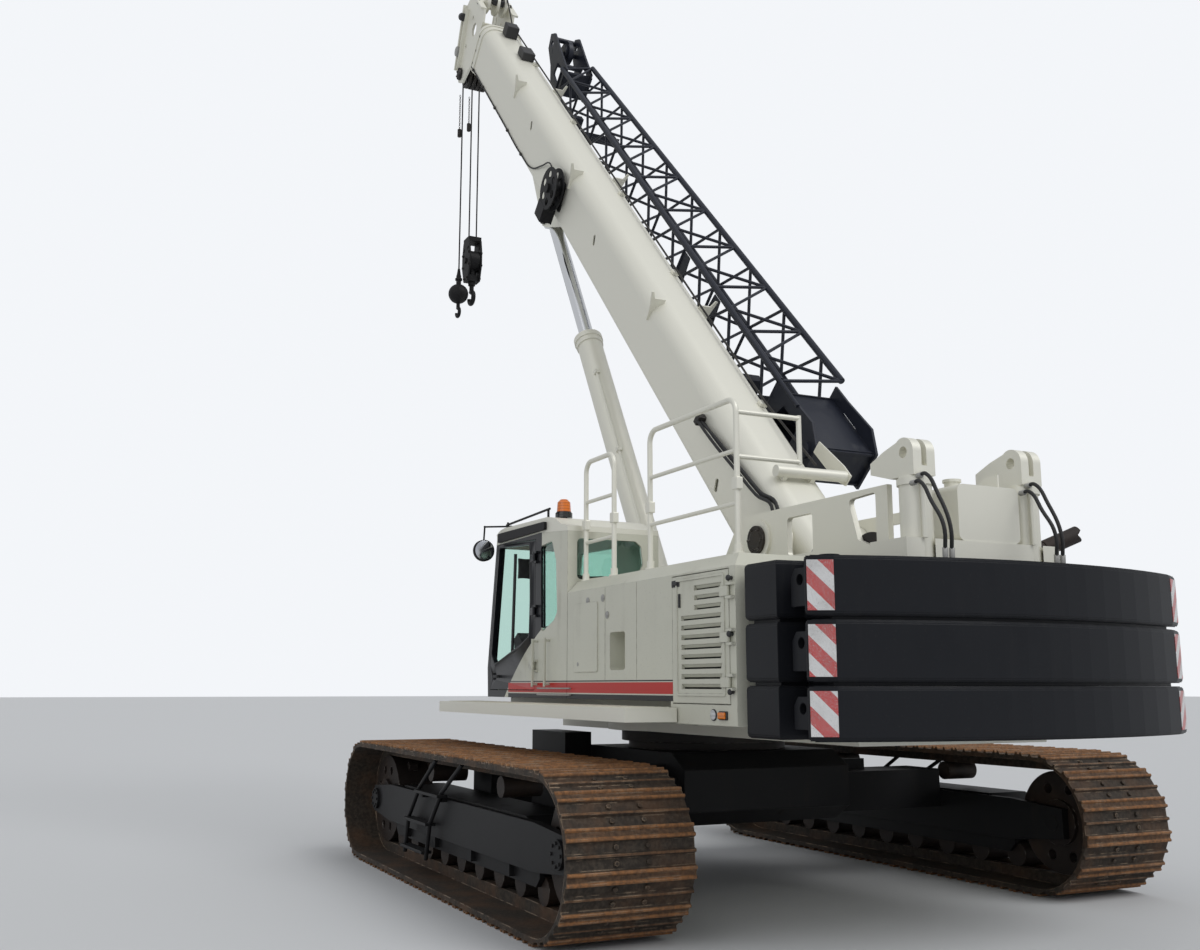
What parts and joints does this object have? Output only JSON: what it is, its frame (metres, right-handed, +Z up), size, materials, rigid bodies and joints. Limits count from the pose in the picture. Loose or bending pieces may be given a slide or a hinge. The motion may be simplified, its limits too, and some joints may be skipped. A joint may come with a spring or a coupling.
{
  "type": "crawler crane",
  "caption": "Crawler crane with a telescopic boom, left-hand cab, stacked counterweight slabs and a lattice fly stowed along the boom's side, hooks hanging at the head.",
  "frame": {"origin": "on the ground under the centre of the overall box; the swing axis stands 1.3728 m behind it", "axes": "+X forwards, the way the boom and the cab face; +Y to the left, the cab side; +Z up"},
  "size_m": [10.4936, 4.91, 11.2484],
  "materials": {
    "undercarriage_black": "satin black paint",
    "bare_steel": "dark greased steel",
    "running_gear": "dark cast steel",
    "track_steel": "rusted steel shoes",
    "cream_paint": "gloss cream paint",
    "counterweight_black": "gloss black paint",
    "exhaust_black": "heat-blackened steel",
    "engine_grey": "grey cast block",
    "cab_glass": "tinted safety glass",
    "cab_black": "satin black paint",
    "seat_fabric": "woven seat cover",
    "console_plastic": "grained plastic",
    "beacon_orange": "clear orange lens on a black base",
    "hook_black": "black painted forging",
    "fly_blue_black": "dark blue-black paint",
    "chrome_rod": "polished chrome rod"
  },
  "bodies": {
    "undercarriage": {"carbody": "undercarriage_black", "swing_bearing": "bare_steel", "side_frame_left": "undercarriage_black", "side_frame_right": "undercarriage_black", "track_left": "track_steel", "track_right": "track_steel", "sprocket_left": "running_gear", "sprocket_right": "running_gear", "idler_left": "running_gear", "idler_right": "running_gear", "rollers_left": "bare_steel", "rollers_right": "bare_steel", "steps_left": "undercarriage_black", "steps_right": "undercarriage_black"},
    "upper": {"turntable": "cream_paint", "tail_frame": "cream_paint", "counterweight_top": "counterweight_black", "counterweight_middle": "counterweight_black", "counterweight_bottom": "counterweight_black", "counterweight_cylinders": "cream_paint", "rear_tank": "cream_paint", "exhaust": "exhaust_black", "body_left": "cream_paint", "body_right": "cream_paint", "engine": "engine_grey", "walkway": "cream_paint", "guardrails": "cream_paint", "cab_shell": "cream_paint", "cab_floor_pan": "cab_black", "cab_roof_panel": "cream_paint", "cab_glass": "cab_glass", "seat": "seat_fabric", "console": "console_plastic", "mirror_and_visor": "cab_black", "cab_rails": "cab_black", "beacon": "beacon_orange"},
    "main_drum": {"winch_main": "bare_steel"},
    "aux_drum": {"winch_aux": "bare_steel"},
    "louver_door": {"louver_door": "cream_paint"},
    "cab_door": {"cab_door": "cab_black"},
    "boom_foot": {"boom_foot_pin": "bare_steel"},
    "boom": {"boom_base": "cream_paint", "boom_fittings": "cream_paint", "cable_reel": "cab_black", "eye_bracket": "cream_paint", "lattice_fly": "fly_blue_black"},
    "section_2": {"boom_section_2": "cream_paint"},
    "section_3": {"boom_section_3": "cream_paint"},
    "tip": {"boom_tip": "cream_paint"},
    "head_sheaves": {"head_sheaves": "bare_steel"},
    "hooks": {"main_hook": "hook_black", "ball_hook": "hook_black"},
    "cylinder_foot": {"cylinder_foot_pin": "bare_steel"},
    "cylinder_barrel": {"cylinder_barrel": "cream_paint"},
    "cylinder_piston": {"cylinder_piston": "bare_steel"},
    "cylinder_rod": {"cylinder_rod": "chrome_rod"}
  },
  "joints": [
    {"name": "swing", "type": "hinge", "parent": "undercarriage", "child": "upper", "pos_m": [-1.37285, 0, 1.18], "axis": [0, 0, 1], "continuous": true},
    {"name": "main_drum", "type": "hinge", "parent": "upper", "child": "main_drum", "pos_m": [-3.70285, 0, 2.29], "axis": [0, 1, 0], "continuous": true},
    {"name": "aux_drum", "type": "hinge", "parent": "upper", "child": "aux_drum", "pos_m": [-4.18285, 0, 2.29], "axis": [0, 1, 0], "continuous": true},
    {"name": "louver_door", "type": "hinge", "parent": "upper", "child": "louver_door", "pos_m": [-4.15485, 1.496, 1.83], "axis": [0, 0, 1], "range_deg": [0, 100]},
    {"name": "cab_door", "type": "hinge", "parent": "upper", "child": "cab_door", "pos_m": [-1.11085, 1.496, 2.15], "axis": [0, 0, 1], "range_deg": [0, 95]},
    {"name": "boom_luff_down", "type": "hinge", "parent": "upper", "child": "boom_foot", "pos_m": [-2.97285, 0, 2.6], "axis": [0, -1, 0], "range_deg": [-48, 0.1]},
    {"name": "boom_luff_up", "type": "hinge", "parent": "boom_foot", "child": "boom", "pos_m": [-2.97285, 0, 2.6], "axis": [0, -1, 0], "range_deg": [-0.1, 32.2]},
    {"name": "telescope_2", "type": "slide", "parent": "boom", "child": "section_2", "axis": [0.6704, 0, 0.742], "range_m": [0, 8.1]},
    {"name": "telescope_3", "type": "slide", "parent": "section_2", "child": "section_3", "axis": [0.6704, 0, 0.742], "range_m": [0, 8.1]},
    {"name": "telescope_tip", "type": "slide", "parent": "section_3", "child": "tip", "axis": [0.6704, 0, 0.742], "range_m": [0, 8.1]},
    {"name": "hang_down", "type": "hinge", "parent": "tip", "child": "head_sheaves", "pos_m": [4.90255, 0, 10.24193], "axis": [0, -1, 0], "range_deg": [-0.5, 48.4]},
    {"name": "hang_up", "type": "hinge", "parent": "head_sheaves", "child": "hooks", "pos_m": [4.90255, 0, 10.24193], "axis": [0, -1, 0], "range_deg": [-32.6, 0.5]},
    {"name": "cylinder_down", "type": "hinge", "parent": "upper", "child": "cylinder_foot", "pos_m": [-0.97285, 0, 1.7], "axis": [0, -1, 0], "range_deg": [-59.22, 0.5]},
    {"name": "cylinder_up", "type": "hinge", "parent": "cylinder_foot", "child": "cylinder_barrel", "pos_m": [-0.97285, 0, 1.7], "axis": [0, -1, 0], "range_deg": [-0.5, 30.78]},
    {"name": "rod_down", "type": "slide", "parent": "cylinder_barrel", "child": "cylinder_piston", "axis": [0.4893, 0, 0.8721], "range_m": [-1.47536, 0]},
    {"name": "rod_up", "type": "slide", "parent": "cylinder_piston", "child": "cylinder_rod", "axis": [0.4893, 0, 0.8721], "range_m": [0, 1.19417]}
  ],
  "couplings": [
    {"joint": "telescope_3", "follows": "telescope_2", "ratio": 1},
    {"joint": "telescope_tip", "follows": "telescope_2", "ratio": 1},
    {"joint": "boom_luff_down", "follows": "rod_down", "rad_per_m": 0.56665},
    {"joint": "boom_luff_up", "follows": "rod_up", "rad_per_m": 0.46915},
    {"joint": "hang_down", "follows": "rod_down", "rad_per_m": -0.56665},
    {"joint": "hang_up", "follows": "rod_up", "rad_per_m": -0.46915},
    {"joint": "cylinder_down", "follows": "rod_down", "rad_per_m": 0.69459},
    {"joint": "cylinder_up", "follows": "rod_up", "rad_per_m": 0.44254}
  ]
}
